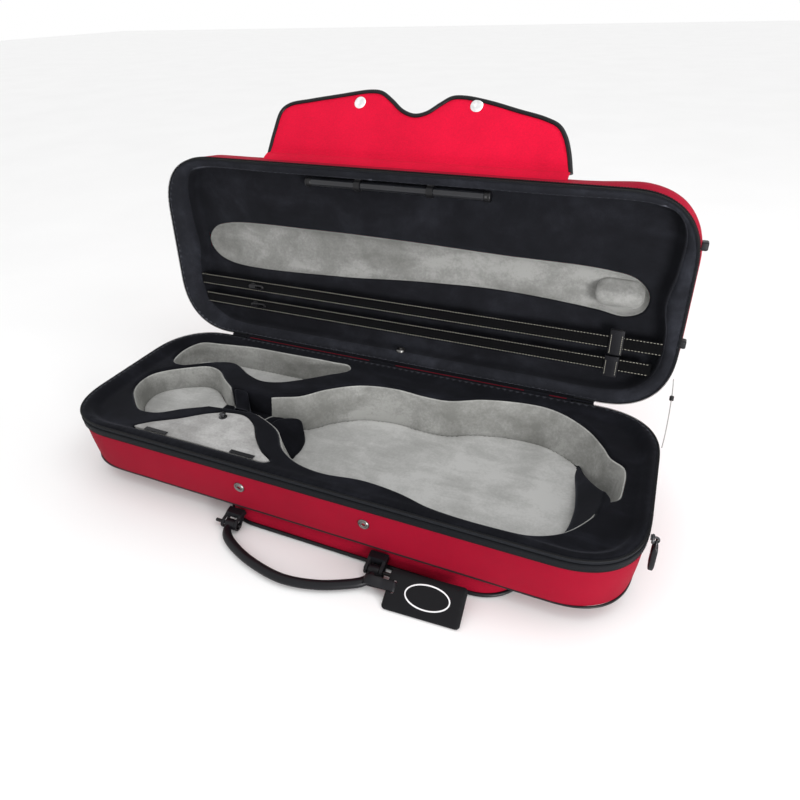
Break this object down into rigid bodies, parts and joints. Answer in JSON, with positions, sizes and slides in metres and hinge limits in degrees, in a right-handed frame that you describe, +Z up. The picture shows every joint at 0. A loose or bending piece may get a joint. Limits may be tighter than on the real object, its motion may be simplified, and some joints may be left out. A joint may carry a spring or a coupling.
{
  "type": "violin case",
  "caption": "Oblong zip-up violin case, open: red fabric shell, fitted suede-lined foam insert, lid with bow holders, flap, handle and tag.",
  "frame": {"origin": "point on the flat underside that the case rests on, below the middle of the base", "axes": "+X along the case towards the wide end of the violin, +Y from the handle side to the hinge side, +Z up"},
  "size_m": [0.7984, 0.4896, 0.4808],
  "materials": {
    "red_fabric": "matte",
    "black_webbing": "matte",
    "zipper_tape": "satin",
    "charcoal_velvet": "matte",
    "grey_suede": "matte",
    "pale_suede": "matte",
    "foam_board": "matte",
    "black_leather": "satin",
    "steel": "gloss",
    "white_metal": "gloss",
    "black_plastic": "satin",
    "clear_plastic": "gloss",
    "tag_plastic": "satin"
  },
  "bodies": {
    "base": {"base_cover": "red_fabric", "hinge_tape": "red_fabric", "bottom_pocket": "red_fabric", "base_binding": "black_webbing", "base_piping": "black_webbing", "pocket_piping": "black_webbing", "base_zipper": "zipper_tape", "base_insert": "charcoal_velvet", "neck_cradle": "charcoal_velvet", "lower_pad": "charcoal_velvet", "upper_pad": "charcoal_velvet", "violin_bed": "grey_suede", "scroll_tray": "grey_suede", "back_tray": "grey_suede", "front_tray": "grey_suede", "base_shell": "foam_board", "handle_tab_left": "black_leather", "handle_tab_right": "black_leather", "base_snap_left": "steel", "base_snap_right": "steel", "handle_pin_left": "black_plastic", "handle_pin_right": "black_plastic", "stay_cord": "black_plastic"},
    "handle": {"handle": "black_leather"},
    "luggage_tag": {"tag_strap": "black_leather", "tag_card": "tag_plastic"},
    "accessory_lid": {"accessory_lid": "pale_suede", "accessory_knob": "steel", "accessory_hinge_left": "black_leather", "accessory_hinge_right": "black_leather"},
    "zipper_slider": {"zipper_slider": "steel"},
    "zipper_pull": {"pull_ring": "steel", "pull_strap": "black_leather"},
    "lid": {"lid_cover": "red_fabric", "lid_shell": "foam_board", "lid_binding": "black_webbing", "lid_zipper": "zipper_tape", "lid_piping": "black_webbing", "lid_liner": "charcoal_velvet", "bow_tray": "grey_suede", "bow_pillow": "pale_suede", "strap_upper": "black_webbing", "strap_lower": "black_webbing", "strap_loop_upper": "black_webbing", "strap_loop_lower": "black_webbing", "lid_snap": "steel", "tube_clip_left": "black_plastic", "tube_clip_right": "black_plastic", "lid_keeper_front": "black_leather", "lid_keeper_back": "black_leather"},
    "spinner_upper": {"bow_spinner_upper": "black_plastic"},
    "spinner_lower": {"bow_spinner_lower": "black_plastic"},
    "string_tube": {"string_tube": "clear_plastic", "tube_cap_left": "black_plastic", "tube_cap_right": "black_plastic"},
    "flap": {"flap": "red_fabric", "flap_piping": "black_webbing", "flap_snap_left": "white_metal", "flap_snap_right": "white_metal"}
  },
  "joints": [
    {"name": "lid_hinge", "type": "hinge", "parent": "base", "child": "lid", "pos_m": [0, 0.1465, 0.1046], "axis": [-1, 0, 0], "range_deg": [-93, 0], "deforming": ["stay_cord"]},
    {"name": "flap_hinge", "type": "hinge", "parent": "lid", "child": "flap", "pos_m": [0, 0.21325, 0.3942], "axis": [1, 0, 0], "range_deg": [-50, 118]},
    {"name": "accessory_lid_hinge", "type": "hinge", "parent": "base", "child": "accessory_lid", "pos_m": [-0.165, -0.1241, 0.1018], "axis": [1, 0, 0], "range_deg": [0, 95]},
    {"name": "bow_spinner_upper_turn", "type": "hinge", "parent": "lid", "child": "spinner_upper", "pos_m": [-0.252, 0.1596, 0.196], "axis": [0, 0.9986, -0.0523], "range_deg": [-90, 90]},
    {"name": "bow_spinner_lower_turn", "type": "hinge", "parent": "lid", "child": "spinner_lower", "pos_m": [-0.252, 0.15785, 0.16255], "axis": [0, 0.9986, -0.0523], "range_deg": [-90, 90]},
    {"name": "string_tube_slide", "type": "slide", "parent": "lid", "child": "string_tube", "axis": [1, 0, 0], "range_m": [-0.06, 0.06]},
    {"name": "handle_swing", "type": "hinge", "parent": "base", "child": "handle", "pos_m": [0, -0.156, 0.0082], "axis": [-1, 0, 0], "range_deg": [0, 80]},
    {"name": "tag_swing", "type": "hinge", "parent": "handle", "child": "luggage_tag", "pos_m": [0.107, -0.174, 0.01], "axis": [-0.0466, 0.8898, 0.454], "range_deg": [-60, 0]},
    {"name": "zipper_slide", "type": "slide", "parent": "base", "child": "zipper_slider", "axis": [0, 1, 0], "range_m": [0, 0.132]},
    {"name": "pull_swing", "type": "hinge", "parent": "zipper_slider", "child": "zipper_pull", "pos_m": [0.401, -0.08, 0.0985], "axis": [0, -1, 0], "range_deg": [0, 120]}
  ]
}
